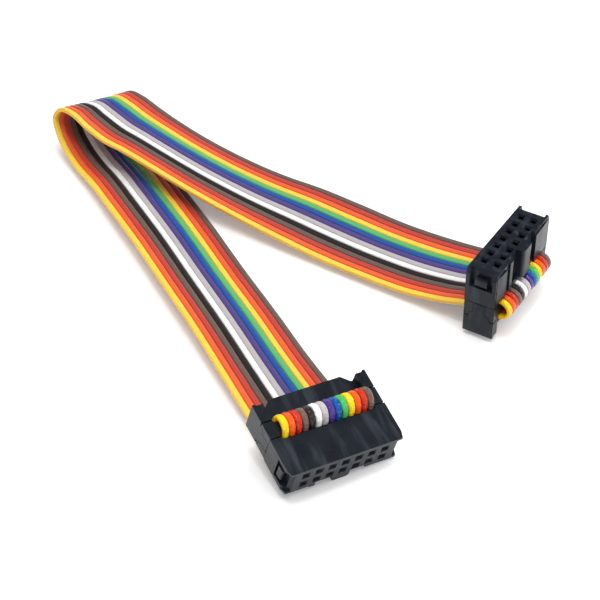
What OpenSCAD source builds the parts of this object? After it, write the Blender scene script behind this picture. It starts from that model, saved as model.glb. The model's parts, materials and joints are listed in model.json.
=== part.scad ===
// Rainbow ribbon cable: fourteen bonded wires with a two-row socket connector on each end.
// It lies on a table, folded back on itself. Lengths are millimetres and angles are degrees.

/* [Ribbon] */
// Distance from one wire to the next
wire_pitch = 1.27; // [1.24:0.01:1.3]
// Thickness of the ribbon
wire_thick = 0.95; // [0.85:0.01:1]
// Width of a wire where it is split from its neighbours
split_width = 0.95; // [0.85:0.01:1]
// Width of the bare conductor inside a contact's fork
conductor_width = 0.32; // [0.26:0.02:0.36]
// How far a loop stands clear of the cover before it turns
loop_lead = 0.1; // [0.05:0.05:0.4]

/* [Connector] */
// Distance between the two rows of pin holes
row_pitch = 2.54; // [2.46:0.02:2.62]
// Plastic past the last pin hole at each end
end_margin = 3.48; // [3.38:0.05:4]
// How much shorter the cover and the strain relief are than the socket at each end
end_step = 0.12; // [0:0.02:0.3]
// Thickness of the connector across both rows
body_thick = 6.1; // [6:0.1:6.6]
// Height of the socket from the ribbon to its mating face
socket_height = 7.4; // [7.2:0.1:9]
// Height of the cover between the two passes of the ribbon
cover_height = 3.4; // [3.2:0.1:4]
// Height of the strain relief
relief_height = 4.8; // [4.4:0.1:5.4]
// Gap between the ribbon and the plastic above, below and beside it
ribbon_gap = 0.02; // [0.01:0.01:0.1]
// Open seam between the end posts of the socket, cover and strain relief
seam_gap = 0.18; // [0.05:0.01:0.25]

/* [Pin holes] */
// Width of the mouth of a pin hole
mouth_width = 1.5; // [1.3:0.1:1.9]
// Depth of the sloped mouth
mouth_depth = 0.4; // [0.3:0.1:1.1]
// Width of the straight part of a pin hole
pin_hole_width = 0.9; // [0.75:0.05:1]

/* [Key and pads] */
// Width of the polarising key
key_width = 3.4; // [3:0.1:4.4]
// How far the key stands out
key_depth = 0.95; // [0.6:0.05:1.2]
// Gap between the key's lower end and the socket's lower face
key_rise = 1.3; // [1:0.1:2.5]
// Distance from the middle to each raised pad's inner edge, at the pin 1 end and the other end
pad_start = [4.7, 7.4];
// How far the pads stand out
pad_depth = 0.35; // [0.2:0.05:0.5]
// Gap between the pads' lower ends and the socket's lower face, which clears the loops
pad_rise = 0.65; // [0.6:0.05:1.2]
// Distance from the middle to the narrow rib beside the key
rib_start = 5; // [4.9:0.1:5.4]
// Width of the narrow rib
rib_width = 1.1; // [0.8:0.1:1.4]
// Depth of the recess on both sides of the key
recess_depth = 0.7; // [0.4:0.05:0.8]

/* [End windows] */
// Width of the latch window in each short end
window_width = 4.6; // [3.8:0.1:4.8]
// Height of the latch window
window_height = 3.3; // [2.4:0.1:3.6]
// Plastic left between the latch window and the mating face
window_drop = 0.65; // [0.5:0.05:1]
// Depth of the latch window
window_depth = 1.1; // [0.8:0.1:1.3]
// Width of the ledge inside the window
ledge_width = 2.5; // [1.6:0.1:3]
// Height of the ledge
ledge_height = 1.4; // [1:0.1:1.6]
// Gap between the ledge and the window's lower edge
ledge_rise = 0.6; // [0.4:0.1:0.8]
// Width of the slot from each side of the window to the mating face
slot_width = 0.45; // [0.3:0.05:0.6]
// Slope that leads in at each end of the mating face
lead_in = 1.3; // [0.9:0.1:1.6]
// Thickness of the ear on each side of the slope
ear_thick = 0.55; // [0.4:0.05:0.7]

/* [Strain relief] */
// How far the bar lies below the ears on each side
bar_inset = 1.7; // [1:0.05:1.8]
// Length of the bar's full-height middle
bar_middle = 14; // [12:0.2:14.2]
// Height lost by the bar towards each ear
bar_rise = 1.45; // [1:0.05:1.8]
// How far the bar stands past the ears
ear_rise = 0.95; // [0.5:0.05:1.2]
// Width of the raised lip along each ear's outer edge
lip_width = 0.75; // [0.5:0.05:1]
// Height of the lip
lip_height = 0.3; // [0.2:0.05:0.4]
// Thickness of the arm that reaches up each end of the cover
arm_thick = 0.7; // [0.5:0.05:0.9]
// Width of the arm
arm_width = 2.4; // [2:0.1:3]
// Width of the arm's foot
arm_foot = 4.2; // [3.6:0.1:4.8]
// Gap between the arm and the cover
arm_gap = 0.05; // [0.03:0.01:0.1]

/* [Contacts] */
// Thickness of the contact's sheet metal
sheet_thick = 0.25; // [0.2:0.05:0.3]
// Width of the fork that straddles a wire
fork_width = 1.1; // [0.9:0.05:1.15]
// How far the fork reaches past the ribbon into the cover
fork_reach = 0.7; // [0.5:0.1:1]
// Width of the spring that grips a pin
spring_width = 0.8; // [0.6:0.05:0.85]
// Gap between a contact and the plastic round it
contact_gap = 0.04; // [0.02:0.01:0.08]

/* [Lay on the table] */
// How far the near connector lies to the left of the far one
near_across = 30.95; // [30:0.05:32]
// How far the near connector lies in front of the far one
near_forward = 46.6; // [45:0.1:48]
// Turn of the near connector's pin rows
near_turn = 27.9; // [25:0.1:30]
// Dip of the near connector's mating face below level
near_dip = 17.35; // [15:0.05:20]
// Roll of the near connector
near_roll = -3.8; // [-5:0.1:0]
// Turn of the far connector's pin rows
far_turn = 58.7; // [56:0.1:62]

/* [Hidden] */
WIRE_COLOURS = ["brown", "red", "orange", "yellow", "green", "blue", "violet",
    "grey", "white", "black", "brown", "red", "orange", "yellow"];
WIRE_PAINTS = ["#6e625a", "#e6483a", "#ff6a36", "#ffd83f", "#4fbe6c", "#2a5ac0", "#69509a",
    "#c6c3be", "#fafafa", "#37363a", "#6e625a", "#e6483a", "#ff6a36", "#ffd83f"];
wire_count = len(WIRE_COLOURS);
plastic_paint = "#2c2f33";
metal_paint = "#d8b56a";

function two_digits(n) = n < 10 ? str("0", n) : str(n);
function wire_node(i) = str("wire_", two_digits(i + 1), "_", WIRE_COLOURS[i]);
function contact_node(end_name, i) = str(end_name, "_contact_", two_digits(i + 1));

ribbon_width = wire_count * wire_pitch;
pin_pitch = 2 * wire_pitch;
pin_columns = wire_count / 2;
body_length = (pin_columns - 1) * pin_pitch + 2 * end_margin;
half_length = body_length / 2;
cover_end = half_length - end_step;
half_thick = body_thick / 2;
half_channel = ribbon_width / 2 + ribbon_gap + 0.1;
channel_depth = wire_thick / 2 + ribbon_gap;
cover_bottom = relief_height;
socket_bottom = relief_height + cover_height;
mating_face = relief_height + cover_height + socket_height;
cut = 0.01;

// Poses of the two connectors: middle of the mating face, direction of the pin rows seen from
// above, lean of the mating direction from upright, roll about it, and the side the ribbon
// leaves. The near one lies on its key's edge, and the far one stands on its strain relief.
near_lean = 90 + near_dip;
key_flat = key_width / 4;
near_height = sin(near_lean) * ((half_thick + key_depth) * cos(near_roll) - key_flat * sin(near_roll));
near_pose = [[-near_across, -near_forward, near_height], near_turn, near_lean, near_roll, -1];
far_pose = [[0, 0, mating_face], far_turn, 0, 0, 1];

function flat_row(p) = [cos(p[1]), sin(p[1]), 0];
function mating_axis(p) = cos(p[2]) * [0, 0, 1] + sin(p[2]) * [sin(p[1]), -cos(p[1]), 0];
function flat_side(p) = cross(mating_axis(p), flat_row(p));
function row_axis(p) = cos(p[3]) * flat_row(p) + sin(p[3]) * flat_side(p);
function side_axis(p) = cos(p[3]) * flat_side(p) - sin(p[3]) * flat_row(p);
function placed(p, x, y, z) =
    p[0] + x * row_axis(p) + y * side_axis(p) + (z - mating_face) * mating_axis(p);

module place(p) {
    r = row_axis(p);
    s = side_axis(p);
    m = mating_axis(p);
    t = placed(p, 0, 0, 0);
    multmatrix([[r.x, s.x, m.x, t.x], [r.y, s.y, m.y, t.y], [r.z, s.z, m.z, t.z], [0, 0, 0, 1]])
        children();
}

// Places inside a connector, which stands on its strain relief with its rows along X
function wire_x(i) = ((wire_count - 1) / 2 - i) * wire_pitch;
function hole_x(i) = ((pin_columns - 1) / 2 - floor(i / 2)) * pin_pitch;
function contact_y(i) = (i % 2 == 0 ? -1 : 1) * row_pitch / 2;

module centred_box(x, y, z, w, d, h) {
    translate([x - w / 2, y - d / 2, z])
        cube([w, d, h]);
}

module extrude_along_y(depth) {
    rotate([90, 0, 0])
        linear_extrude(height = depth, center = true)
            children();
}

module extrude_along_x(depth) {
    rotate([90, 0, 90])
        linear_extrude(height = depth, center = true)
            children();
}

// Socket
chamber_width = spring_width + 2 * contact_gap;
chamber_depth = 1.4;
chamber_top = mating_face - mouth_depth - 0.2;
web_rise = 0.9;
web_height = 0.7;
web_bottom = socket_bottom + web_rise;
web_top = web_bottom + web_height;
window_top = mating_face - window_drop;
window_bottom = window_top - window_height;
window_floor = half_length - window_depth;
ear_taper = [0.4, 1.3];
tongue_width = 2.2;
tongue_thick = 0.6;
tongue_height = 1.2;
tongue_inset = 1.1;
tongue_gap = 0.05;
latch_gap = 0.25;
arm_foot_height = [0.6, 1];

module slope_outline() {
    polygon([[-half_length, socket_bottom], [half_length, socket_bottom],
        [half_length, mating_face - lead_in], [half_length - lead_in, mating_face],
        [-half_length + lead_in, mating_face], [-half_length, mating_face - lead_in]]);
}

module ear_outline() {
    polygon([[-half_length, socket_bottom], [half_length, socket_bottom],
        [half_length, mating_face - ear_taper.y], [half_length - ear_taper.x, mating_face],
        [-half_length + ear_taper.x, mating_face], [-half_length, mating_face - ear_taper.y]]);
}

// The mouth slopes from mouth_width at the face to pin_hole_width below it
module mouth_profile() {
    polygon([[-pin_hole_width / 2, -mouth_depth], [pin_hole_width / 2, -mouth_depth],
        [mouth_width / 2, 0], [mouth_width / 2, cut], [-mouth_width / 2, cut], [-mouth_width / 2, 0]]);
}

module pin_hole() {
    intersection() {
        extrude_along_y(2 * mouth_width)
            mouth_profile();
        extrude_along_x(2 * mouth_width)
            mouth_profile();
    }
    centred_box(0, 0, chamber_top - mating_face - cut, pin_hole_width, pin_hole_width,
        mating_face - chamber_top - mouth_depth + 2 * cut);
}

module contact_room(i) {
    translate([hole_x(i), contact_y(i), mating_face])
        pin_hole();
    centred_box(hole_x(i), contact_y(i), socket_bottom - cut, chamber_width, chamber_depth,
        chamber_top - socket_bottom + cut);
    centred_box(wire_x(i), contact_y(i), socket_bottom - cut, fork_width + 2 * contact_gap,
        sheet_thick + 2 * contact_gap, web_top + contact_gap - socket_bottom + cut);
}

// A pad's outer face is bowed, highest at its inner edge
module pad(inner, outer) {
    pad_top = mating_face - ear_taper.y / 2;
    pad_bottom = socket_bottom + pad_rise;
    translate([0, 0, pad_bottom])
        linear_extrude(height = pad_top - pad_bottom)
            polygon([[inner, -half_thick + cut], [inner, -half_thick - pad_depth],
                [(inner + outer) / 2, -half_thick - 0.85 * pad_depth],
                [outer, -half_thick - 0.2 * pad_depth], [outer, -half_thick + cut]]);
}

// The key's outer corners are round, and its face is flat in the middle
module key() {
    face = -half_thick - key_depth;
    corner = 0.5;
    half_key = key_width / 2;
    rim = [for (a = [0 : 22.5 : 67.5]) [half_key - corner * (1 - cos(a)), face + corner * (1.1 - sin(a))]];
    translate([0, 0, socket_bottom + key_rise])
        linear_extrude(height = socket_height - key_rise)
            polygon(concat([[half_key, -half_thick + cut]], rim, [[key_flat, face], [-key_flat, face]],
                [for (k = [len(rim) - 1 : -1 : 0]) [-rim[k].x, rim[k].y]], [[-half_key, -half_thick + cut]]));
}

module rib() {
    centred_box(-rib_start - rib_width / 2, -half_thick, socket_bottom + key_rise, rib_width,
        2 * pad_depth, socket_height - key_rise);
}

// The wall is recessed on both sides of the key, from the rib to the pad
module key_recess() {
    for (reach = [[-rib_start, -key_width / 2], [key_width / 2, pad_start[0]]])
        translate([reach[0], -half_thick - cut, socket_bottom + key_rise])
            cube([reach[1] - reach[0], recess_depth + cut, socket_height - key_rise + cut]);
}

module latch_window() {
    translate([window_floor, -window_width / 2, window_bottom])
        cube([window_depth + cut, window_width, window_height]);
    for (side = [-1, 1])
        centred_box(window_floor + window_depth, side * (window_width - slot_width) / 2, window_top - cut,
            2 * window_depth, slot_width, window_drop + 2 * cut);
}

// The ledge is flush with the end, with its upper outer edge broken
module window_ledge() {
    bottom = window_bottom + ledge_rise;
    edge = 0.2;
    extrude_along_y(ledge_width)
        polygon([[window_floor - cut, bottom], [half_length, bottom], [half_length, bottom + ledge_height - edge],
            [half_length - edge, bottom + ledge_height], [window_floor - cut, bottom + ledge_height]]);
}

module tongue(grow) {
    tongue_root = seam_gap + cut;
    centred_box(half_length - tongue_inset, 0, socket_bottom - tongue_root, tongue_thick + 2 * grow,
        tongue_width + 2 * grow, tongue_height + grow + tongue_root);
}

module at_both_ends() {
    children();
    mirror([1, 0, 0])
        children();
}

module ribbon_channel(z) {
    centred_box(0, 0, z, 2 * half_channel, body_thick + 2 * cut, channel_depth);
}

module socket() {
    difference() {
        union() {
            extrude_along_y(body_thick - 2 * ear_thick)
                slope_outline();
            for (side = [-1, 1])
                translate([0, side * (half_thick - ear_thick / 2), 0])
                    extrude_along_y(ear_thick)
                        ear_outline();
            key();
            rib();
            pad(pad_start[0], half_length - ear_taper.x);
            mirror([1, 0, 0])
                pad(pad_start[1], half_length - ear_taper.x);
        }
        key_recess();
        for (i = [0 : wire_count - 1])
            contact_room(i);
        translate([0, 0, -cut])
            ribbon_channel(socket_bottom);
        at_both_ends()
            latch_window();
        at_both_ends()
            tongue(tongue_gap);
    }
    at_both_ends()
        window_ledge();
}

// Cover
module cover() {
    difference() {
        union() {
            centred_box(0, 0, cover_bottom, 2 * cover_end, body_thick, cover_height - seam_gap);
            at_both_ends()
                tongue(0);
        }
        ribbon_channel(cover_bottom - cut);
        ribbon_channel(socket_bottom - channel_depth + cut);
        for (i = [0 : wire_count - 1])
            centred_box(wire_x(i), contact_y(i), socket_bottom - channel_depth - fork_reach - contact_gap,
                fork_width + 2 * contact_gap, sheet_thick + 2 * contact_gap, fork_reach + contact_gap + 2 * cut);
        at_both_ends()
            arm(arm_gap, socket_bottom);
    }
}

// Strain relief
// An arm on the end of the cover: its foot is wide, and it narrows above. The cover's room for
// it is the same outline with a gap all round, up to the socket.
module arm(grow, top) {
    half_foot = arm_foot / 2 + grow;
    half_arm = arm_width / 2 + grow;
    low = relief_height - seam_gap - 2 * cut;
    shoulder = relief_height + grow;
    translate([cover_end - arm_thick / 2, 0, 0])
        extrude_along_x(arm_thick + 2 * grow)
            polygon([[-half_foot, low], [half_foot, low], [half_foot, shoulder + arm_foot_height[0]],
                [half_arm, shoulder + arm_foot_height[1]], [half_arm, top], [-half_arm, top],
                [-half_arm, shoulder + arm_foot_height[1]], [-half_foot, shoulder + arm_foot_height[0]]]);
}

module bar_outline() {
    half_middle = bar_middle / 2;
    polygon([[-half_channel - cut, relief_height - channel_depth], [-half_channel - cut, bar_rise],
        [-half_middle - bar_rise, bar_rise], [-half_middle, 0], [half_middle, 0],
        [half_middle + bar_rise, bar_rise], [half_channel + cut, bar_rise],
        [half_channel + cut, relief_height - channel_depth]]);
}

module strain_relief() {
    extrude_along_y(body_thick - 2 * bar_inset)
        bar_outline();
    at_both_ends() {
        extrude_along_y(body_thick)
            ear_end_outline();
        arm(0, socket_bottom - latch_gap);
    }
}

// An ear with the lip along its outer edge
module ear_end_outline() {
    inner = half_channel;
    ear_top = relief_height - seam_gap;
    polygon([[inner, ear_rise + lip_height], [cover_end - lip_width, ear_rise + lip_height],
        [cover_end - lip_width + lip_height, ear_rise], [cover_end, ear_rise], [cover_end, ear_top],
        [inner, ear_top]]);
}

// Contact: a fork that straddles its wire, a web, and a two-leaf spring that grips a pin
module contact(i) {
    fork_tip = socket_bottom - wire_thick / 2 - fork_reach;
    slot_top = socket_bottom + wire_thick / 2 + 0.1;
    half_slot = conductor_width / 2 + 0.01;
    half_fork = fork_width / 2;
    tine_middle = (half_slot + half_fork) / 2;
    grip = mating_face - 2.2;
    spring_tip = chamber_top - 0.3;
    leaf = 0.2;
    translate([wire_x(i), contact_y(i), 0])
        extrude_along_y(sheet_thick)
            polygon([[-half_fork, web_top], [-half_fork, fork_tip + 0.35], [-tine_middle, fork_tip],
                [-half_slot, fork_tip + 0.3], [-half_slot, slot_top], [half_slot, slot_top],
                [half_slot, fork_tip + 0.3], [tine_middle, fork_tip], [half_fork, fork_tip + 0.35],
                [half_fork, web_top]]);
    translate([hole_x(i), contact_y(i), 0])
        extrude_along_x(spring_width)
            polygon([[-0.5, web_bottom], [0.5, web_bottom], [0.5, web_top], [0.22 + leaf, grip],
                [0.42 + leaf, spring_tip], [0.42, spring_tip], [0.22, grip], [0.3, web_top],
                [-0.3, web_top], [-0.22, grip], [-0.42, spring_tip], [-0.42 - leaf, spring_tip],
                [-0.22 - leaf, grip], [-0.5, web_top]]);
}

// Route of the ribbon between the connectors, from the near one to the far one: the middle of
// the ribbon, the direction across it towards the brown edge seen from above, and its rise
ROUTE = [
    [-36.9, -35, 2.2, 26.5, -2],
    [-39.7, -29.4, 1.7, 26.5, -4],
    [-44.1, -20.4, 1.7, 26.5, -8],
    [-50.5, -7, 2, 26, -10],
    [-57, 6.2, 2.05, 26, -10.5],
    [-63.4, 19.4, 2.1, 26.5, -9.5],
    [-69.1, 30.6, 2, 27.5, -8],
    [-73.7, 39.7, 1.7, 29, -6.5],
    [-77.7, 46.8, 1.4, 30.5, -5.5],
    [-80.3, 51.4, 1.9, 32.5, -8.5],
    [-82.4, 55.2, 3.2, 35, -13],
    [-83.4, 57.4, 5.4, 39, -15.5],
    [-82.6, 57.2, 7.9, 45, -15],
    [-80.1, 55.3, 9.2, 49, -9.5],
    [-77.2, 52.8, 8.6, 50.5, -4.5],
    [-73.7, 49.9, 7.5, 52, -3.8],
    [-69.9, 47, 6.8, 53, -6.3],
    [-64.8, 43.1, 5.85, 54, -7.3],
    [-57.1, 37.4, 4.6, 55, -6],
    [-46.5, 30, 3.5, 56, -2],
    [-38.5, 24.6, 3.2, 56.5, 3],
    [-30.4, 19.2, 2.7, 57, 5],
    [-22.2, 13.85, 2.4, 58, 4],
    [-14, 8.6, 2.75, 58.7, 4],
    [-7.9, 4.75, 3.7, 58.7, 2]];
// Extra rings between one point of the route and the next, where it bends most
exit_rings = 3;
fold_rings = 1;
fold_span = [10, 15];

// A station is the ribbon's middle with the direction across it, as the route's points are
function exit_place(p) = placed(p, 0, p[4] * half_thick, relief_height);
function exit_station(p) = let (r = row_axis(p), e = exit_place(p))
    [e.x, e.y, e.z, atan2(r.y, r.x), asin(r.z)];
STATIONS = concat([exit_station(near_pose)], ROUTE, [exit_station(far_pose)]);
last_station = len(STATIONS) - 1;
function place_of(s) = [s[0], s[1], s[2]];
function span(i) = norm(place_of(STATIONS[i + 1]) - place_of(STATIONS[i]));
function exit_direction(p) = p[4] * side_axis(p);
function slope(i) =
    i == 0 ? concat(exit_direction(near_pose), [0, 0])
    : i == last_station ? concat(-exit_direction(far_pose), [0, 0])
    : let (before = (STATIONS[i] - STATIONS[i - 1]) / span(i - 1),
           after = (STATIONS[i + 1] - STATIONS[i]) / span(i))
        (before * span(i) + after * span(i - 1)) / (span(i) + span(i - 1));

// Smooth curve through the stations, and its direction
function between(i, u) =
    (2 * u ^ 3 - 3 * u ^ 2 + 1) * STATIONS[i] + (u ^ 3 - 2 * u ^ 2 + u) * span(i) * slope(i)
    + (3 * u ^ 2 - 2 * u ^ 3) * STATIONS[i + 1] + (u ^ 3 - u ^ 2) * span(i) * slope(i + 1);
function heading(i, u) = place_of(
    (6 * u ^ 2 - 6 * u) * (STATIONS[i] - STATIONS[i + 1]) / span(i)
    + (3 * u ^ 2 - 4 * u + 1) * slope(i) + (3 * u ^ 2 - 2 * u) * slope(i + 1));

// A ring is its middle, the direction across, the direction out of the ribbon, and the wire's
// width and thickness there
function route_ring(i, u) = let (s = between(i, u), t = heading(i, u),
        across = [cos(s[3]) * cos(s[4]), sin(s[3]) * cos(s[4]), sin(s[4])], out = cross(across, t))
    [place_of(s), across, out / norm(out), wire_pitch, wire_thick];
function rings_in(i) = i == 0 ? exit_rings : i >= fold_span[0] && i <= fold_span[1] ? fold_rings : 0;
ROUTE_RINGS = [for (i = [1 : last_station - 1]) each [for (k = [0 : rings_in(i)]) route_ring(i, k / (rings_in(i) + 1))]];
EXIT_RINGS = [for (k = [1 : exit_rings]) route_ring(0, k / (exit_rings + 1))];

// Inside a connector the wires cross to the loop side, turn round the cover and come back.
// y is measured towards the side where the ribbon leaves, and travel is the direction of the
// path from the cut end, as [y, z]. way is 1 from the cut end and -1 towards it.
loop_radius = cover_height / 2;
loop_steps = 5;
neck_half = sheet_thick / 2 + 0.02;
neck_step = 0.04;
function inner_ring(p, way, y, z, travel, width, thick) =
    [placed(p, 0, p[4] * y, z), row_axis(p),
     way * (p[4] * travel[0] * mating_axis(p) - travel[1] * side_axis(p)), width, thick];
function neck_rings(p, way, i) = let (y = p[4] * contact_y(i), z = socket_bottom, t = [-1, 0])
    [inner_ring(p, way, y + neck_half + neck_step, z, t, split_width, wire_thick),
     inner_ring(p, way, y + neck_half, z, t, conductor_width, conductor_width),
     inner_ring(p, way, y - neck_half, z, t, conductor_width, conductor_width),
     inner_ring(p, way, y - neck_half - neck_step, z, t, split_width, wire_thick)];
function loop_rings(p, way) = [for (k = [0 : loop_steps]) let (a = 180 * k / loop_steps)
    inner_ring(p, way, -half_thick - loop_lead - loop_radius * sin(a),
        cover_bottom + loop_radius * (1 + cos(a)), [-cos(a), -sin(a)], split_width, wire_thick)];
function inner_rings(p, way, i) = concat(
    [inner_ring(p, way, half_thick - 0.05, socket_bottom, [-1, 0], split_width, wire_thick)],
    neck_rings(p, way, i), loop_rings(p, way),
    [inner_ring(p, way, half_thick - 1, relief_height, [1, 0], split_width, wire_thick),
     inner_ring(p, way, half_thick, relief_height, [1, 0], wire_pitch, wire_thick)]);
function reversed(list) = [for (k = [len(list) - 1 : -1 : 0]) list[k]];
function wire_rings(i) = concat(inner_rings(near_pose, 1, i), EXIT_RINGS, ROUTE_RINGS,
    reversed(inner_rings(far_pose, -1, i)));

// Section of a wire: flat sides that meet its neighbours, and a rounded top and bottom
side_share = 0.2;
top_share = 0.27;
sides = 8;
function section(w, t) = [[w / 2, -side_share * t], [w / 2, side_share * t], [top_share * w, t / 2],
    [-top_share * w, t / 2], [-w / 2, side_share * t], [-w / 2, -side_share * t],
    [-top_share * w, -t / 2], [top_share * w, -t / 2]];
function ring_points(ring, x) = [for (q = section(ring[3], ring[4])) ring[0] + (x + q.x) * ring[1] + q.y * ring[2]];
// Both triangles of a side face: neighbouring wires share the same diagonal on their flat sides
left_side = 4;
function side_faces(k, j) = let (a = k * sides + j, b = k * sides + (j + 1) % sides, c = b + sides, d = a + sides)
    j == left_side ? [[a, b, d], [b, c, d]] : [[a, b, c], [a, c, d]];

module wire(i) {
    rings = wire_rings(i);
    count = len(rings);
    points = [for (ring = rings) each ring_points(ring, wire_x(i))];
    faces = concat([[for (j = [sides - 1 : -1 : 0]) j]],
        [for (k = [0 : count - 2]) for (j = [0 : sides - 1]) each side_faces(k, j)],
        [[for (j = [0 : sides - 1]) (count - 1) * sides + j]]);
    color(WIRE_PAINTS[i])
        polyhedron(points = points, faces = faces, convexity = 10);
}

module near_socket() { color(plastic_paint) place(near_pose) socket(); }
module near_cover() { color(plastic_paint) place(near_pose) cover(); }
module near_strain_relief() { color(plastic_paint) place(near_pose) strain_relief(); }
module far_socket() { color(plastic_paint) place(far_pose) socket(); }
module far_cover() { color(plastic_paint) place(far_pose) cover(); }
module far_strain_relief() { color(plastic_paint) place(far_pose) strain_relief(); }
module near_contact(i) { color(metal_paint) place(near_pose) contact(i); }
module far_contact(i) { color(metal_paint) place(far_pose) contact(i); }

near_socket();
near_cover();
near_strain_relief();
far_socket();
far_cover();
far_strain_relief();
for (i = [0 : wire_count - 1]) {
    wire(i);
    near_contact(i);
    far_contact(i);
}
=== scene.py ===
"""The looks of the ribbon cable: smooth wires, moulded housings, table and light."""
import json
import math
import bmesh
import bpy
import numpy as np
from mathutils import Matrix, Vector

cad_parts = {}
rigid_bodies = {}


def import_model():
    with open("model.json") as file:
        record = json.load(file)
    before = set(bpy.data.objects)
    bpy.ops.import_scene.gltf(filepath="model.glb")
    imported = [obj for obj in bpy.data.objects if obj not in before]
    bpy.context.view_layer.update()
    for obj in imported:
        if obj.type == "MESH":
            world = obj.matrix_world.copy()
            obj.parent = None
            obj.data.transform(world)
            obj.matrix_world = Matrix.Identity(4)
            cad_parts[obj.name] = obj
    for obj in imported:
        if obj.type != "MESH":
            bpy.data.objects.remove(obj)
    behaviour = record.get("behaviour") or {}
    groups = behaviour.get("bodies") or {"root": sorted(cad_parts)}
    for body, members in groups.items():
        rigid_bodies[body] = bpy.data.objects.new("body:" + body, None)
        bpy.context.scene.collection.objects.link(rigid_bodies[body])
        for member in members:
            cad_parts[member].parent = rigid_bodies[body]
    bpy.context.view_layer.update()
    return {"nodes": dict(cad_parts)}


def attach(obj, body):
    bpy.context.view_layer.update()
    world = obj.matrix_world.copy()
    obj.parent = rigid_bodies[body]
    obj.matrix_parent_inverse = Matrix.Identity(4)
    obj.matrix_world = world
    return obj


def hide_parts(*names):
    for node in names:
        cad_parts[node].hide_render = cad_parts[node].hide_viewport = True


for left_over in list(bpy.data.objects):
    bpy.data.objects.remove(left_over)
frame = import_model()
NODES = frame["nodes"]
MM = 0.001

# Sizes of the ribbon and its connectors, as in part.scad, in millimetres
WIRE_NAMES = ["brown", "red", "orange", "yellow", "green", "blue", "violet",
              "grey", "white", "black", "brown", "red", "orange", "yellow"]
WIRE_COUNT = len(WIRE_NAMES)
WIRE_PITCH = 1.27
WIRE_THICK = 0.95
ROW_PITCH = 2.54
PIN_PITCH = 2 * WIRE_PITCH
PIN_COLUMNS = WIRE_COUNT // 2
MOUTH_HALF = 0.76
HALF_THICK = 3.05
RELIEF_HEIGHT = 4.8
COVER_HEIGHT = 3.4
SOCKET_BOTTOM = 8.2
SEAM_GAP = 0.18
MATING_FACE = 15.6
KEY_DEPTH = 0.95
KEY_WIDTH = 3.4

# How the near connector lies: leaning on its key's edge, and rolled a little
LEAN = math.radians(107.35)
ROLL = math.radians(-3.8)
NEAR_HEIGHT = math.sin(LEAN) * ((HALF_THICK + KEY_DEPTH) * math.cos(ROLL) - KEY_WIDTH / 4 * math.sin(ROLL))


class Pose:
    """Where a connector is: middle of its mating face, its axes, and the side the ribbon leaves."""

    def __init__(self, middle, turn, lean, roll, side):
        turn = math.radians(turn)
        self.middle = np.array(middle, float)
        self.mating = np.array([math.sin(lean) * math.sin(turn), -math.sin(lean) * math.cos(turn),
                                math.cos(lean)])
        flat_row = np.array([math.cos(turn), math.sin(turn), 0])
        flat_side = np.cross(self.mating, flat_row)
        self.row = math.cos(roll) * flat_row + math.sin(roll) * flat_side
        self.across = math.cos(roll) * flat_side - math.sin(roll) * flat_row
        self.side = side

    def at(self, x, y, z):
        return self.middle + x * self.row + y * self.across + (z - MATING_FACE) * self.mating


NEAR = Pose(middle=(-30.95, -46.6, NEAR_HEIGHT), turn=27.9, lean=LEAN, roll=ROLL, side=-1)
FAR = Pose(middle=(0, 0, MATING_FACE), turn=58.7, lean=0, roll=0, side=1)

# The ribbon's route, as in part.scad: its middle, the direction across it and its rise
ROUTE = [
    [-36.9, -35, 2.2, 26.5, -2],
    [-39.7, -29.4, 1.7, 26.5, -4],
    [-44.1, -20.4, 1.7, 26.5, -8],
    [-50.5, -7, 2, 26, -10],
    [-57, 6.2, 2.05, 26, -10.5],
    [-63.4, 19.4, 2.1, 26.5, -9.5],
    [-69.1, 30.6, 2, 27.5, -8],
    [-73.7, 39.7, 1.7, 29, -6.5],
    [-77.7, 46.8, 1.4, 30.5, -5.5],
    [-80.3, 51.4, 1.9, 32.5, -8.5],
    [-82.4, 55.2, 3.2, 35, -13],
    [-83.4, 57.4, 5.4, 39, -15.5],
    [-82.6, 57.2, 7.9, 45, -15],
    [-80.1, 55.3, 9.2, 49, -9.5],
    [-77.2, 52.8, 8.6, 50.5, -4.5],
    [-73.7, 49.9, 7.5, 52, -3.8],
    [-69.9, 47, 6.8, 53, -6.3],
    [-64.8, 43.1, 5.85, 54, -7.3],
    [-57.1, 37.4, 4.6, 55, -6],
    [-46.5, 30, 3.5, 56, -2],
    [-38.5, 24.6, 3.2, 56.5, 3],
    [-30.4, 19.2, 2.7, 57, 5],
    [-22.2, 13.85, 2.4, 58, 4],
    [-14, 8.6, 2.75, 58.7, 4],
    [-7.9, 4.75, 3.7, 58.7, 2]]
# Longest step between two rings of a wire, on the fold and at the near exit, and elsewhere
FINE_STEP = 0.35
COARSE_STEP = 0.8
FINE_SPANS = [0, *range(9, 16)]


def exit_station(pose):
    place = pose.at(0, pose.side * HALF_THICK, RELIEF_HEIGHT)
    return [*place, math.degrees(math.atan2(pose.row[1], pose.row[0])), math.degrees(math.asin(pose.row[2]))]


STATIONS = np.array([exit_station(NEAR), *ROUTE, exit_station(FAR)], float)
SPANS = np.linalg.norm(np.diff(STATIONS[:, :3], axis=0), axis=1)
SLOPES = np.zeros_like(STATIONS)
SLOPES[0, :3] = NEAR.side * NEAR.across
SLOPES[-1, :3] = -FAR.side * FAR.across
for i in range(1, len(STATIONS) - 1):
    before = (STATIONS[i] - STATIONS[i - 1]) / SPANS[i - 1]
    after = (STATIONS[i + 1] - STATIONS[i]) / SPANS[i]
    SLOPES[i] = (before * SPANS[i] + after * SPANS[i - 1]) / (SPANS[i] + SPANS[i - 1])


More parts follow.
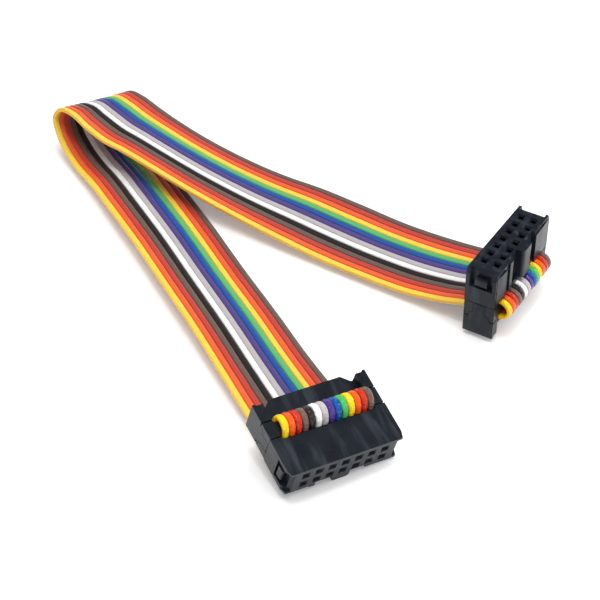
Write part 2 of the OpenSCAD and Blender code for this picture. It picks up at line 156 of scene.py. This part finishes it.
def route_ring(i, u):
    """Middle, direction across and direction out of the ribbon at a share u of span i."""
    s0, s1, h = STATIONS[i], STATIONS[i + 1], SPANS[i]
    s = ((2 * u**3 - 3 * u**2 + 1) * s0 + (u**3 - 2 * u**2 + u) * h * SLOPES[i]
         + (3 * u**2 - 2 * u**3) * s1 + (u**3 - u**2) * h * SLOPES[i + 1])
    t = ((6 * u**2 - 6 * u) * (s0 - s1) / h + (3 * u**2 - 4 * u + 1) * SLOPES[i]
         + (3 * u**2 - 2 * u) * SLOPES[i + 1])[:3]
    az, rise = math.radians(s[3]), math.radians(s[4])
    across = np.array([math.cos(az) * math.cos(rise), math.sin(az) * math.cos(rise), math.sin(rise)])
    out = np.cross(across, t)
    return s[:3], across, out / np.linalg.norm(out)


# A wire's section is a rounded box: half width, half thickness and squareness
BONDED = (0.66, WIRE_THICK / 2, 2.6)
SPLIT = (0.56, 0.485, 2.3)
NECK = (0.16, 0.16, 4)
# Two bonded wires meet in a flat side, and a conductor takes this share of the section
FLAT_SIDE = WIRE_PITCH / 2
CORE_SHARE = 0.36
AROUND = 24

# A wire inside a connector: its cut end, its neck in the contact's fork, and its loop round the cover
END_INSET = 0.05
NECK_HALF = 0.145
NECK_TAPER = 0.04
LOOP_INSET = 0.15
LOOP_STEPS = 24
# The share of a loop over which a split wire widens into the bonded ribbon
BONDED_AFTER = 0.45
# How far before the exit the last two rings are
RUN_OUT = (1, 0.02)
# How much further than a half circle each loop stands out, in the order of the wires
BULGES = [0.3, 0.42, 0.36, 0.45, 0.38, 0.34, 0.42, 0.36, 0.44, 0.4, 0.32, 0.4, 0.36, 0.34]


def wire_x(i):
    return ((WIRE_COUNT - 1) / 2 - i) * WIRE_PITCH


def contact_y(i):
    return (-1 if i % 2 == 0 else 1) * ROW_PITCH / 2


def inner_rings(pose, way, i, bulge):
    """Rings from a wire's cut end, past its contact and round the cover's side, to the exit.

    Each ring is its place, the directions across and out, its section, and how taut the wire is. The way
    is -1 where the rings are laid in reverse, so that the tube's faces still point outwards."""
    rings = []

    def ring(y, z, travel, section, taut=0):
        place = pose.at(0, pose.side * y, z)
        out = way * (pose.side * travel[0] * pose.mating - travel[1] * pose.across)
        rings.append((place, pose.row, out, section, taut))

    neck_y = pose.side * contact_y(i)
    ring(HALF_THICK - END_INSET, SOCKET_BOTTOM, (-1, 0), BONDED)
    ring(neck_y + NECK_HALF + NECK_TAPER, SOCKET_BOTTOM, (-1, 0), BONDED)
    ring(neck_y + NECK_HALF, SOCKET_BOTTOM, (-1, 0), NECK)
    ring(neck_y - NECK_HALF, SOCKET_BOTTOM, (-1, 0), NECK)
    ring(neck_y - NECK_HALF - NECK_TAPER, SOCKET_BOTTOM, (-1, 0), SPLIT)
    radius = COVER_HEIGHT / 2
    for k in range(LOOP_STEPS + 1):
        a = math.pi * k / LOOP_STEPS
        y = -HALF_THICK + LOOP_INSET - (radius + bulge) * math.sin(a)
        z = RELIEF_HEIGHT + radius * (1 + math.cos(a))
        t = np.array([-(radius + bulge) * math.cos(a), -radius * math.sin(a)])
        joined = min(1, k / LOOP_STEPS / BONDED_AFTER)
        section = tuple((1 - joined) * b + joined * c for b, c in zip(SPLIT, BONDED))
        ring(y, z, t / np.linalg.norm(t), section, 1)
    for inset in RUN_OUT:
        ring(HALF_THICK - inset, RELIEF_HEIGHT, (1, 0), BONDED)
    return rings


def free_rings():
    """Rings along the free ribbon, from the near exit to just before the far one."""
    rings = []
    for i, h in enumerate(SPANS):
        steps = max(2, math.ceil(h / (FINE_STEP if i in FINE_SPANS else COARSE_STEP)))
        for k in range(steps):
            rings.append((*route_ring(i, k / steps), BONDED, 0))
    return rings


def section_points(section):
    half_width, half_thick, square = section
    angles = (np.arange(AROUND) + 0.5) * 2 * math.pi / AROUND
    x = half_width * np.sign(np.cos(angles)) * np.abs(np.cos(angles)) ** (2 / square)
    z = half_thick * np.sign(np.sin(angles)) * np.abs(np.sin(angles)) ** (2 / square)
    return np.clip(x, -FLAT_SIDE, FLAT_SIDE), z


def tube_mesh(name, rings, x):
    """A closed tube through the rings, x millimetres across from their middle, and the path of its middle."""
    points, path = [], []
    for place, across, out, section, taut in rings:
        sx, sz = section_points(section)
        middle = place + x * across
        path.append(middle * MM)
        points.append(middle + np.outer(sx, across) + np.outer(sz, out))
    points = np.concatenate(points) * MM
    count = len(rings)
    faces = []
    for k in range(count - 1):
        for j in range(AROUND):
            a, b = k * AROUND + j, k * AROUND + (j + 1) % AROUND
            faces.append([a, b, b + AROUND, a + AROUND])
    wall_faces = len(faces)
    # Each cut end is a ring of insulation round the conductor
    for k in (0, count - 1):
        rim = points[k * AROUND:(k + 1) * AROUND]
        core = rim.mean(axis=0) + CORE_SHARE * (rim - rim.mean(axis=0))
        first = len(points)
        points = np.concatenate([points, core])
        for j in range(AROUND):
            after = (j + 1) % AROUND
            a, b, c, d = k * AROUND + j, k * AROUND + after, first + after, first + j
            faces.append([a, b, c, d] if k else [b, a, d, c])
        faces.append([first + j for j in (range(AROUND) if k else reversed(range(AROUND)))])
    mesh = bpy.data.meshes.new(name)
    mesh.from_pydata([tuple(p) for p in points], [], faces)
    mesh.update()
    map_along(mesh, path)
    taut = [ring[4] for ring in rings] + [0, 0]
    stretch = mesh.attributes.new("taut", "FLOAT", "POINT")
    stretch.data.foreach_set("value", np.repeat(np.array(taut, np.float32), AROUND))
    conductor = mesh.attributes.new("conductor", "FLOAT", "FACE")
    conductor.data.foreach_set("value", [float(len(polygon.vertices) > 4) for polygon in mesh.polygons])
    for polygon in mesh.polygons:
        polygon.use_smooth = polygon.index < wall_faces
    return mesh, path


def map_along(mesh, path):
    """A UV map of a tube's wall: the share of the way round it, and the length along it in metres."""
    uv = mesh.uv_layers.new(name="along")
    along = np.concatenate([[0], np.cumsum(np.linalg.norm(np.diff(np.array(path), axis=0), axis=1))])
    values = np.zeros((len(mesh.loops), 2), np.float32)
    for k in range(len(path) - 1):
        for j in range(AROUND):
            start = (k * AROUND + j) * 4
            values[start:start + 4, 0] = np.array([j, j + 1, j + 1, j]) / AROUND
            values[start:start + 4, 1] = [along[k], along[k], along[k + 1], along[k + 1]]
    uv.data.foreach_set("uv", values.ravel())


def add_piece(name, mesh, material, node):
    piece = bpy.data.objects.new(name, mesh)
    bpy.context.scene.collection.objects.link(piece)
    mesh.materials.clear()
    mesh.materials.append(material)
    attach(piece, "root")
    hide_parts(node)
    return piece


# Tools for shader nodes
def feed(tree, node, sockets):
    """Link each named or numbered input of a node to a socket, or give it a value."""
    for key, value in sockets.items():
        if isinstance(value, bpy.types.NodeSocket):
            tree.links.new(value, node.inputs[key])
        else:
            node.inputs[key].default_value = value


def linked(tree, kind, sockets=None, **settings):
    """A new node with its settings and inputs."""
    node = tree.nodes.new(kind)
    for key, value in settings.items():
        setattr(node, key, value)
    feed(tree, node, sockets or {})
    return node


def maths(tree, operation, *values):
    return linked(tree, "ShaderNodeMath", dict(enumerate(values)), operation=operation).outputs[0]


def mixed_colour(tree, share, first, second):
    return linked(tree, "ShaderNodeMix", {0: share, 6: first, 7: second}, data_type="RGBA").outputs[2]


def attribute(tree, name, output="Fac"):
    return linked(tree, "ShaderNodeAttribute", attribute_name=name).outputs[output]


def coordinates(tree, kind):
    return linked(tree, "ShaderNodeTexCoord").outputs[kind]


def new_material(name):
    material = bpy.data.materials.new(name)
    material.use_nodes = True
    tree = material.node_tree
    return material, tree, tree.nodes["Principled BSDF"]


def new_group(name, inputs, outputs):
    group = bpy.data.node_groups.new(name, "ShaderNodeTree")
    for title, kind, value in inputs:
        socket = group.interface.new_socket(name=title, in_out="INPUT", socket_type=kind)
        socket.default_value = value
    for title, kind in outputs:
        group.interface.new_socket(name=title, in_out="OUTPUT", socket_type=kind)
    return group, group.nodes.new("NodeGroupInput").outputs, group.nodes.new("NodeGroupOutput")


def linear(*screen):
    """A colour given in the screen's values, 0 to 255."""
    shares = [value / 255 for value in screen]
    return tuple(c / 12.92 if c <= 0.04045 else ((c + 0.055) / 1.055) ** 2.4 for c in shares) + (1,)


# Finishes
GRAIN_DEPTH = 0.04 * MM
WRINKLE_DEPTH = 0.35 * MM
TINNED = (0.75, 0.68, 0.6, 1)
BRONZE_DULL = (0.62, 0.42, 0.17, 1)
BRONZE_BRIGHT = (0.82, 0.62, 0.32, 1)
PLASTIC_DARK = linear(13, 17, 24)
PLASTIC_LIGHT = linear(32, 38, 47)
PALE_STREAK = linear(60, 65, 74)
# The near-black colour of the painted shade in pin holes and seams
UNLIT = linear(3, 3, 4)
# Each insulation colour, and a deeper one for the painted shade between two wires and for uneven patches
COLOURS = {
    "brown": ((106, 87, 79), (62, 48, 42)), "red": ((190, 64, 52), (138, 24, 18)),
    "orange": ((230, 98, 49), (190, 50, 22)), "yellow": ((236, 205, 72), (218, 142, 30)),
    "green": ((90, 177, 105), (34, 112, 84)), "blue": ((26, 80, 158), (14, 44, 108)),
    "violet": ((82, 65, 130), (50, 38, 92)), "grey": ((182, 176, 178), (122, 116, 114)),
    "white": ((240, 238, 238), (180, 178, 178)), "black": ((36, 31, 31), (16, 14, 14))}


def grain_group():
    """Fine grain and broad patches of an Object coordinate pattern, for colour, sheen and bump."""
    group, given, result = new_group("grain", [
        ("Grain scale", "NodeSocketFloat", 1000), ("Patch scale", "NodeSocketFloat", 200),
        ("Bump", "NodeSocketFloat", 0.3)],
        [("Grain", "NodeSocketFloat"), ("Patch", "NodeSocketFloat"), ("Normal", "NodeSocketVector")])
    place = coordinates(group, "Object")
    grain = linked(group, "ShaderNodeTexNoise", {"Vector": place, "Scale": given["Grain scale"], "Detail": 3})
    patch = linked(group, "ShaderNodeTexNoise", {"Vector": place, "Scale": given["Patch scale"], "Detail": 4})
    bump = linked(group, "ShaderNodeBump", {"Strength": given["Bump"], "Distance": GRAIN_DEPTH,
                                            "Height": grain.outputs[0]})
    feed(group, result, {"Grain": grain.outputs[0], "Patch": patch.outputs[0], "Normal": bump.outputs[0]})
    return group


def vinyl_group(grain):
    """Soft vinyl round a wire: a deeper colour painted as shade towards its neighbours, and an uneven colour
    and sheen.

    Where the wire is bent tight round the cover it is glossier and finely wrinkled, and painted brighter and
    more saturated as painted light."""
    side_narrowness, side_painted_shade, patch_depth = 6.0, 0.55, 0.14
    grain_roughness, taut_gloss, wrinkle_strength = 0.14, 0.16, 0.8
    group, given, result = new_group("soft_vinyl", [
        ("Colour", "NodeSocketColor", (0.8, 0.8, 0.8, 1)),
        ("Painted shade and patch colour", "NodeSocketColor", (0.4, 0.4, 0.4, 1)),
        ("Roughness", "NodeSocketFloat", 0.35)],
        [("Colour", "NodeSocketColor"), ("Roughness", "NodeSocketFloat"), ("Normal", "NodeSocketVector")])
    marks = linked(group, "ShaderNodeGroup", {"Grain scale": 3200, "Patch scale": 140, "Bump": 0.5},
                   node_tree=grain).outputs
    around = linked(group, "ShaderNodeSeparateXYZ", {0: coordinates(group, "UV")}).outputs["X"]
    turn = maths(group, "MULTIPLY", around, 2 * math.pi)
    # Painted shade: each wire is darker towards its neighbours, where the valley between two wires lies in
    # shade
    side = maths(group, "POWER", maths(group, "ABSOLUTE", maths(group, "COSINE", turn)), side_narrowness)
    painted_shade_and_patch = maths(group, "MULTIPLY", side, side_painted_shade)
    painted_shade_and_patch = maths(group, "MULTIPLY_ADD", marks["Patch"], patch_depth, painted_shade_and_patch)
    taut = attribute(group, "taut")
    # Painted light: where taut round the cover, the loops are made brighter and more saturated
    painted_brightening = linked(group, "ShaderNodeHueSaturation", {
        "Saturation": 1.15, "Value": 1.2, "Fac": taut,
        "Color": mixed_colour(group, painted_shade_and_patch, given["Colour"], given["Painted shade and patch colour"])})
    rough = maths(group, "MULTIPLY_ADD", marks["Grain"], grain_roughness, given["Roughness"])
    rough = maths(group, "SUBTRACT", rough, maths(group, "MULTIPLY", taut, taut_gloss))
    folds = linked(group, "ShaderNodeTexNoise", {"Vector": coordinates(group, "Object"), "Scale": 1700,
                                                 "Detail": 1, "Distortion": 0.8})
    wrinkles = linked(group, "ShaderNodeBump", {
        "Strength": maths(group, "MULTIPLY", taut, wrinkle_strength), "Distance": WRINKLE_DEPTH,
        "Height": folds.outputs[0], "Normal": marks["Normal"]})
    feed(group, result, {"Colour": painted_brightening.outputs[0], "Roughness": rough, "Normal": wrinkles.outputs[0]})
    return group


def insulation(name, vinyl, colour, painted_shade_and_patch):
    """Soft vinyl in one colour, with a deeper colour for its painted shade and patches, and the tinned
    conductor on its cut ends.
    """
    material, tree, shader = new_material(name)
    look = linked(tree, "ShaderNodeGroup", {"Colour": linear(*colour), "Painted shade and patch colour": linear(*painted_shade_and_patch),
                                            "Roughness": 0.3}, node_tree=vinyl).outputs
    metal = attribute(tree, "conductor")
    feed(tree, shader, {
        "Base Color": mixed_colour(tree, metal, look["Colour"], TINNED), "Metallic": metal,
        "Roughness": look["Roughness"], "Normal": look["Normal"], "Subsurface Weight": 0.12,
        "Subsurface Radius": (0.6, 0.4, 0.3), "Subsurface Scale": MM})
    return material


def housing_plastic(grain):
    """Glass-filled nylon as it comes from the mould: dark blue-grey, with a soft uneven sheen."""
    streak_strength, lowest_roughness, patch_roughness, inside_roughness = 0.6, 0.2, 0.2, 0.35
    material, tree, shader = new_material("housing_plastic")
    marks = linked(tree, "ShaderNodeGroup", {"Grain scale": 2600, "Patch scale": 260, "Bump": 0.25},
                   node_tree=grain).outputs
    plain = mixed_colour(tree, marks["Patch"], PLASTIC_DARK, PLASTIC_LIGHT)
    # Paler streaks run from the ribbon towards the mating face
    drawn = linked(tree, "ShaderNodeMapping", {"Vector": attribute(tree, "local", "Vector"),
                                               "Scale": (0.55, 0.55, 0.09)}).outputs[0]
    streaks = linked(tree, "ShaderNodeTexNoise", {"Vector": drawn, "Scale": 1, "Detail": 3, "Distortion": 0.5})
    streaks = linked(tree, "ShaderNodeMapRange", {"Value": streaks.outputs[0], "From Min": 0.5, "From Max": 0.72})
    streaks = maths(tree, "MULTIPLY", streaks.outputs[0], streak_strength)
    marked = mixed_colour(tree, streaks, plain, PALE_STREAK)
    # Faces inside pin holes and seams get painted shade: a near-black colour, with Metallic too, which takes
    # their sheen away
    inside = attribute(tree, "inside")
    rough = maths(tree, "MULTIPLY_ADD", marks["Patch"], patch_roughness, lowest_roughness)
    rough = maths(tree, "ADD", rough, maths(tree, "MULTIPLY", inside, inside_roughness))
    feed(tree, shader, {
        "Base Color": mixed_colour(tree, inside, marked, UNLIT), "Metallic": inside, "Roughness": rough,
        "Normal": marks["Normal"], "Specular IOR Level": 0.2})
    return material


def contact_bronze(grain):
    """Plated spring bronze, a little dull in patches."""
    lowest_roughness, grain_roughness = 0.15, 0.25
    material, tree, shader = new_material("contact_metal")
    marks = linked(tree, "ShaderNodeGroup", {"Grain scale": 3500, "Patch scale": 700, "Bump": 0.15},
                   node_tree=grain).outputs
    feed(tree, shader, {
        "Base Color": mixed_colour(tree, marks["Patch"], BRONZE_DULL, BRONZE_BRIGHT), "Metallic": 1.0,
        "Roughness": maths(tree, "MULTIPLY_ADD", marks["Grain"], grain_roughness, lowest_roughness),
        "Normal": marks["Normal"]})
    return material


GRAIN = grain_group()
VINYL = vinyl_group(GRAIN)
INSULATION = {name: insulation("insulation_" + name, VINYL, *pair) for name, pair in COLOURS.items()}
HOUSING = housing_plastic(GRAIN)
BRONZE = contact_bronze(GRAIN)


def lay_wires():
    """Each wire is a cord from its cut end in one connector to its cut end in the other."""
    free = free_rings()
    for i, colour in enumerate(WIRE_NAMES):
        node = f"wire_{i + 1:02d}_{colour}"
        rings = (inner_rings(NEAR, 1, i, BULGES[i]) + free
                 + inner_rings(FAR, -1, i, BULGES[WIRE_COUNT - 1 - i])[::-1])
        mesh, path = tube_mesh("insulation_" + node, rings, wire_x(i))
        piece = add_piece("insulation_" + node, mesh, INSULATION[colour], node)


# The mouldings: how round their edges are, and what a merged copy joins and flattens
EDGE_RADIUS = 0.06 * MM
EDGE_ANGLE = math.radians(30)
EDGE_SEGMENTS = 2
MERGE_DISTANCE = 1e-7
FLAT_ANGLE = math.radians(0.5)
# Heights of the faces on both sides of the seams, which get painted shade, for each moulding of a connector
SEAM_FACES = {"socket": [SOCKET_BOTTOM], "cover": [SOCKET_BOTTOM - SEAM_GAP, RELIEF_HEIGHT],
              "strain_relief": [RELIEF_HEIGHT - SEAM_GAP]}
# A face is at such a height within this margin, and level where its normal follows the mating axis
SEAM_MARGIN = 0.03
LEVEL = 0.9
# Depths between which a face's middle is in a pin hole's mouth, and how dark the painted shade on such a face
# is
MOUTH_FROM = 0.08
MOUTH_TO = 0.38
MOUTH_SHADE = 0.35


def softened(node):
    """A copy of a CAD solid's mesh, merged and with rounded edges."""
    mesh = NODES[node].data.copy()
    work = bmesh.new()
    work.from_mesh(mesh)
    bmesh.ops.remove_doubles(work, verts=work.verts, dist=MERGE_DISTANCE)
    bmesh.ops.dissolve_limit(work, angle_limit=FLAT_ANGLE, verts=work.verts, edges=work.edges)
    work.to_mesh(mesh)
    work.free()
    holder = bpy.data.objects.new("work", mesh)
    bpy.context.scene.collection.objects.link(holder)
    bevel = holder.modifiers.new("edges", "BEVEL")
    bevel.width = EDGE_RADIUS
    bevel.segments = EDGE_SEGMENTS
    bevel.limit_method = "ANGLE"
    bevel.angle_limit = EDGE_ANGLE
    bevel.harden_normals = False
    evaluated = holder.evaluated_get(bpy.context.evaluated_depsgraph_get())
    result = bpy.data.meshes.new_from_object(evaluated)
    result.name = "moulded_" + node
    bpy.data.objects.remove(holder)
    return result


def local_places(pose, collection, field):
    """Millimetres along a connector's axes from the middle of its mating face."""
    places = np.zeros(len(collection) * 3)
    collection.foreach_get(field, places)
    return (places.reshape(-1, 3) / MM - pose.middle) @ np.array([pose.row, pose.across, pose.mating]).T


def mark_local(mesh, pose):
    places = local_places(pose, mesh.vertices, "co")
    local = mesh.attributes.new("local", "FLOAT_VECTOR", "POINT")
    local.data.foreach_set("vector", places.astype(np.float32).ravel())


def mark_inside(mesh, pose, moulding):
    """Mark the faces that get little light, for painted shade: in open seams and pin holes, and less so on a
    hole's mouth.
    """
    x, y, z = local_places(pose, mesh.polygons, "center").T
    to_hole = np.abs((x / PIN_PITCH + 0.5 * (PIN_COLUMNS - 1)) % 1 - 0.5)
    in_hole = ((to_hole > 0.5 - MOUTH_HALF / PIN_PITCH) & (np.abs(x) < PIN_COLUMNS * PIN_PITCH / 2)
               & (np.abs(np.abs(y) - ROW_PITCH / 2) < MOUTH_HALF) & (z < -MOUTH_FROM))
    shade = np.where(in_hole, np.where(z > -MOUTH_TO, MOUTH_SHADE, 1.0), 0.0) * (moulding == "socket")
    normals = np.zeros(len(mesh.polygons) * 3)
    mesh.polygons.foreach_get("normal", normals)
    level = np.abs(normals.reshape(-1, 3) @ pose.mating) > LEVEL
    for height in SEAM_FACES[moulding]:
        shade[level & (np.abs(z + MATING_FACE - height) < SEAM_MARGIN)] = 1
    inside = mesh.attributes.new("inside", "FLOAT", "FACE")
    inside.data.foreach_set("value", shade.astype(np.float32))


def dress_connector(end_name, pose):
    """Softened mouldings, and bronze for the contacts, which keep their CAD meshes."""
    for moulding in SEAM_FACES:
        node = f"{end_name}_{moulding}"
        mesh = softened(node)
        mark_local(mesh, pose)
        mark_inside(mesh, pose, moulding)
        add_piece("moulded_" + node, mesh, HOUSING, node)
    for i in range(WIRE_COUNT):
        contact = NODES[f"{end_name}_contact_{i + 1:02d}"]
        contact.data.materials.clear()
        contact.data.materials.append(BRONZE)


# Table, light and camera, in metres
TABLE_HALF = 1.5
TABLE_GREY = (0.9, 0.9, 0.9, 1)
TABLE_SEEN = (1.15, 1.15, 1.15, 1)
# Between these two distances the share of the table's own white rises from the first share to the second
SHADOWS_END = (0.15, 0.45)
WHITE_SHARE = (0.2, 1)
PLAIN_WHITE = (1, 1, 1, 1)
# What the lamps point to
MIDDLE = (-0.04, 0.0, 0.0)


def set_table():
    """A plain grey table for the light on the object, which the camera and the object's gloss see as white.

    Near the object it is white by itself only in part, so that it keeps the shadows."""
    mesh = bpy.data.meshes.new("table")
    corners = [(x * TABLE_HALF, y * TABLE_HALF, 0) for x, y in ((-1, -1), (1, -1), (1, 1), (-1, 1))]
    mesh.from_pydata(corners, [], [(0, 1, 2, 3)])
    table = bpy.data.objects.new("table", mesh)
    bpy.context.scene.collection.objects.link(table)
    material, tree, shader = new_material("table_white")
    feed(tree, shader, {"Base Color": TABLE_GREY, "Roughness": 0.55, "Specular IOR Level": 0.2})
    rays = linked(tree, "ShaderNodeLightPath").outputs
    seen = maths(tree, "MAXIMUM", rays["Is Camera Ray"],
                 maths(tree, "MAXIMUM", rays["Is Glossy Ray"], rays["Is Transmission Ray"]))
    away = linked(tree, "ShaderNodeVectorMath", {0: coordinates(tree, "Object")}, operation="LENGTH")
    share = linked(tree, "ShaderNodeMapRange", {
        "Value": away.outputs["Value"], "From Min": SHADOWS_END[0], "From Max": SHADOWS_END[1],
        "To Min": WHITE_SHARE[0], "To Max": WHITE_SHARE[1]})
    lit = linked(tree, "ShaderNodeBsdfDiffuse", {"Color": TABLE_SEEN})
    white = linked(tree, "ShaderNodeEmission", {"Color": PLAIN_WHITE, "Strength": 1})
    both = linked(tree, "ShaderNodeMixShader", {0: share.outputs["Result"], 1: lit.outputs[0],
                                                2: white.outputs[0]})
    surface = linked(tree, "ShaderNodeMixShader", {0: seen, 1: shader.outputs[0], 2: both.outputs[0]})
    tree.links.new(surface.outputs[0], tree.nodes["Material Output"].inputs["Surface"])
    mesh.materials.append(material)


def round_lamp(name, location, size, power):
    """A round lamp turned to the middle of the cable."""
    data = bpy.data.lights.new(name, "AREA")
    data.shape = "DISK"
    data.size = size
    data.energy = power
    lamp = bpy.data.objects.new(name, data)
    bpy.context.scene.collection.objects.link(lamp)
    lamp.location = location
    lamp.rotation_euler = (Vector(MIDDLE) - Vector(location)).to_track_quat("-Z", "Y").to_euler()
    return lamp


def set_lights():
    """A wide soft lamp above, a small one for the sides, and a very small one for glints."""
    round_lamp("top_light", (0.12, 0.08, 0.85), 1.3, 9.5).visible_glossy = False
    round_lamp("side_light", (0.7, 0.3, 0.45), 0.3, 1.2)
    round_lamp("glint_light", (-0.02, -0.1, 0.8), 0.09, 0.9)


def set_studio():
    """A plain studio with a white wall all round, dimmer above it, and most of all behind the table."""
    world = bpy.data.worlds.new("studio")
    bpy.context.scene.world = world
    world.use_nodes = True
    tree = world.node_tree
    way = linked(tree, "ShaderNodeSeparateXYZ", {0: coordinates(tree, "Generated")}).outputs
    dim = linked(tree, "ShaderNodeMapRange", {"Value": way["Y"], "From Min": -0.1, "From Max": 0.7,
                                              "To Min": 0.44, "To Max": 0.17},
                 interpolation_type="SMOOTHSTEP").outputs["Result"]
    wall = linked(tree, "ShaderNodeMapRange", {"Value": way["Z"], "From Min": 0.19, "From Max": 0.3,
                                               "To Min": 1, "To Max": 0},
                  interpolation_type="SMOOTHSTEP").outputs["Result"]
    strength = maths(tree, "MAXIMUM", dim, wall)
    feed(tree, tree.nodes["Background"], {"Color": PLAIN_WHITE, "Strength": strength})


def set_camera():
    """The photograph's camera, which looks along +Y and down at the cable."""
    look_down = 39.7
    data = bpy.data.cameras.new("camera")
    data.sensor_width = 36
    data.lens = 105.3
    data.clip_start = 0.01
    data.clip_end = 5
    camera = bpy.data.objects.new("camera", data)
    bpy.context.scene.collection.objects.link(camera)
    camera.location = (-0.0384, -0.25507, 0.21309)
    camera.rotation_euler = (math.radians(90 - look_down), 0, 0)
    bpy.context.scene.camera = camera


def set_render():
    scene = bpy.context.scene
    scene.view_settings.view_transform = "Standard"
    scene.view_settings.look = "None"
    scene.view_settings.exposure = 0
    scene.cycles.use_denoising = True
    scene.cycles.seed = 1
    scene.render.resolution_x = 600
    scene.render.resolution_y = 600


set_camera()
lay_wires()
dress_connector("near", NEAR)
dress_connector("far", FAR)
set_table()
set_lights()
set_studio()
set_render()
